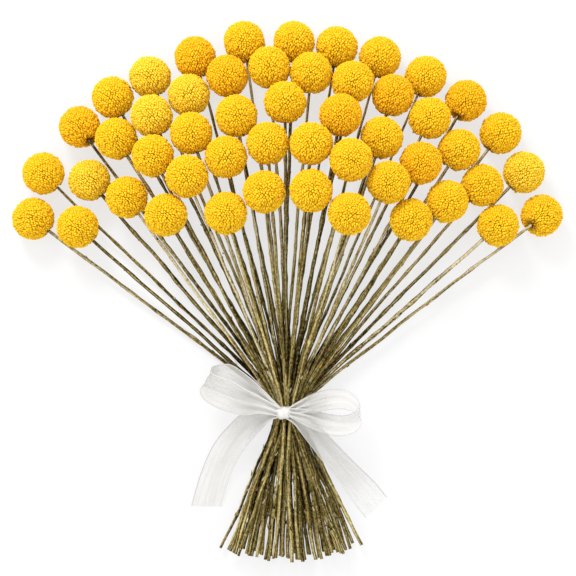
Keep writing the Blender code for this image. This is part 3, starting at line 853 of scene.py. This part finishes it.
def strip(whole, stations, folds, phase, painted_lit_hem, opacity_and_painted_light=1.0):
    """A length of ribbon through its stations, gathered into folds wherever it is squeezed."""
    spans = (len(stations) - 1) * STRIP_STEPS
    middle = [along_stations(stations, k / spans)[0] for k in range(spans + 1)]
    length = sum((b - a).length for a, b in zip(middle, middle[1:]))
    bm = bmesh.new()
    cloth = bm.loops.layers.uv.new("cloth")
    bmesh.ops.create_grid(bm, x_segments=spans, y_segments=STRIP_ACROSS, size=0.5, calc_uvs=True)
    for face in bm.faces:
        for loop in face.loops:
            loop[cloth].uv.x *= length / RIBBON_WIDTH
            if painted_lit_hem == "upper":
                loop[cloth].uv.y = 1 - loop[cloth].uv.y
    gather = []
    for vert in bm.verts:
        share, across = vert.co.x + 0.5, vert.co.y * 2
        centre, half = along_stations(stations, share)
        ahead = along_stations(stations, min(1, share + STATION_NUDGE))[0]
        behind = along_stations(stations, max(0, share - STATION_NUDGE))[0]
        normal = (ahead - behind).cross(half).normalized()
        width = 2 * half.length
        slack = max(0.0, RIBBON_WIDTH / width - 1)
        away = (centre - KNOT_PLACE).length / PLEAT_REACH
        amplitude = min(width / (math.pi * folds) * math.sqrt(slack), PLEAT_HEIGHT) * math.exp(-away * away)
        amplitude += SOFT_WAVE
        swing = math.pi * folds * across + phase + FOLD_DRIFT * share
        vert.co = centre + TIE + half * across + normal * amplitude * math.sin(swing)
        vert.co.z = max(vert.co.z, RIBBON_LOWEST)
        pulled = GATHER_SLACK * slack + GATHER_KNOT * math.exp(-away * away * 5)
        gather.append(min(CLOSE_GATHER, opacity_and_painted_light + pulled))
    cloth_part(bm, gather, whole)


def reach_round(stems, y, angle):
    """How far the stalks reach across the tie at y towards an angle."""
    side = Vector((math.cos(angle), math.sin(angle)))
    return max(stem.section_reach(y, side) for stem in stems) + FIT


def wrap(whole, stems):
    """The turn of ribbon round the stalks, pulled tight and creased."""
    bm = bmesh.new()
    bm.loops.layers.uv.new("cloth")
    bmesh.ops.create_grid(bm, x_segments=WRAP_STEPS, y_segments=WRAP_ACROSS, size=0.5, calc_uvs=True)
    nudge = 0.01
    for vert in bm.verts:
        angle = (vert.co.x + 0.5) * 2 * math.pi
        across = vert.co.y
        y = across * WRAP_WIDTH
        side = Vector((math.cos(angle), 0, math.sin(angle)))
        turn = Vector((-side.z, 0, side.x))
        slope = (reach_round(stems, y, angle + nudge) - reach_round(stems, y, angle - nudge)) / (2 * nudge)
        crease = WRAP_CREASE * (1 + math.sin(across * 19 + 1.3 * math.sin(angle * 2)))
        vert.co = TIE + side * (reach_round(stems, y, angle) + crease) + turn * slope
        vert.co.y += y
    bmesh.ops.remove_doubles(bm, verts=bm.verts, dist=WRAP_WELD)
    cloth_part(bm, [WRAP_GATHER] * len(bm.verts), whole)


def knot(whole):
    """The knot: a plump fold pulled over the turn, with creases running over it."""
    bm = bmesh.new()
    bm.loops.layers.uv.new("cloth")
    bmesh.ops.create_icosphere(bm, subdivisions=5, radius=1.0, calc_uvs=True)
    for vert in bm.verts:
        x, y, z = (math.copysign(abs(value) ** 0.85, value) for value in vert.co)
        crease = math.sin(7.5 * x + 1.5 * y + 1.1 * math.sin(3 * y))
        swell = 1 + 0.055 * crease + 0.05 * noise.noise(vert.co * 2.3)
        waist = 1 - 0.16 * math.exp(-((x - 0.1 + 0.25 * y) / 0.16) ** 2)
        vert.co = Vector((x * swell, y * swell * waist, z * swell * waist))
    bmesh.ops.scale(bm, vec=KNOT_SIZE / 2, verts=bm.verts)
    bmesh.ops.translate(bm, vec=KNOT_PLACE + TIE, verts=bm.verts)
    cloth_part(bm, [CLOSE_GATHER] * len(bm.verts), whole, 0)


def make_bow(stems, material):
    """The whole ribbon: two loops, two tails, the turn round the stalks and the knot."""
    whole = bmesh.new()
    # the last number sets how see-through the cloth is and its painted light: darker for the left loop,
    # lighter for the right loop and right tail
    strip(whole, LOOP_LEFT, 2.0, 0.4, "upper", 1.25)
    strip(whole, LOOP_RIGHT, 2.6, 1.3, "upper", 0.85)
    strip(whole, TAIL_LEFT, 1.6, 2.2, "lower")
    strip(whole, TAIL_RIGHT, 1.8, 0.9, "lower", 0.72)
    wrap(whole, stems)
    knot(whole)
    mesh = bpy.data.meshes.new("organza_bow")
    whole.to_mesh(mesh)
    whole.free()
    return finished(mesh, "organza_bow", ["ribbon_bow"], [material])


# ------------------------------------------------------------ the bunch
def make_bunch():
    stems = [Stem(layer, step) for layer, (first, last, *feet) in enumerate(LAYERS)
             for step in range(last - first + 1)]
    even_out(stems)
    centres = {stem.number: head_centre(stem.number) for stem in stems}
    balls = [floret_ball(seed) for seed in (11, 12, 13)]
    for stem in stems:
        stem.aim(centres[stem.number] - TIE)
    bow_out(stems)
    for stem in sorted(stems, key=lambda stem: stem.number):
        make_head(stem.number, balls[stem.number % 3], centres[stem.number], stem.pole)
    for ball in balls:
        bpy.data.meshes.remove(ball)
    materials = [stem_material(), pith_material()]
    for layer in range(len(LAYERS)):
        make_layer(layer, [stem for stem in stems if stem.layer == layer], materials)
    bow = make_bow(stems, organza_material())


# ------------------------------------------------------------ studio and camera
CAMERA_HEIGHT = 0.90
CAMERA_OVER = TIE + Vector((0.3, 80.8, 0)) * MM
SENSOR_WIDTH = 36                 # in mm, as Blender counts it
VIEW_WIDTH = 0.3862               # of the ground in the picture
KEY_PLACE = Vector((-0.45, 1.05, 0.95))
KEY_SIZE = 0.45
KEY_POWER = 13.0
SKY_STRENGTH = 1.30


def make_studio():
    bpy.ops.mesh.primitive_plane_add(size=6)
    ground = bpy.context.object
    ground.name = "studio_floor"
    ground.data.materials.append(floor_material())

    key = bpy.data.lights.new("key", "AREA")
    key.shape = "DISK"
    key.size = KEY_SIZE
    key.energy = KEY_POWER
    lamp = bpy.data.objects.new("key", key)
    bpy.context.scene.collection.objects.link(lamp)
    lamp.location = KEY_PLACE
    lamp.rotation_euler = (Vector() - lamp.location).to_track_quat("-Z", "Y").to_euler()

    world = bpy.data.worlds.new("studio")
    bpy.context.scene.world = world
    world.use_nodes = True
    background = world.node_tree.nodes["Background"]
    background.inputs["Color"].default_value = (1, 1, 1, 1)
    background.inputs["Strength"].default_value = SKY_STRENGTH


def make_camera():
    camera = bpy.data.cameras.new("camera")
    camera.sensor_width = SENSOR_WIDTH
    camera.lens = SENSOR_WIDTH * CAMERA_HEIGHT / VIEW_WIDTH
    seat = bpy.data.objects.new("camera", camera)
    bpy.context.scene.collection.objects.link(seat)
    seat.location = CAMERA_OVER + Vector((0, 0, CAMERA_HEIGHT))
    bpy.context.scene.camera = seat
    bpy.context.scene.view_settings.view_transform = "Standard"


make_bunch()
make_studio()
make_camera()
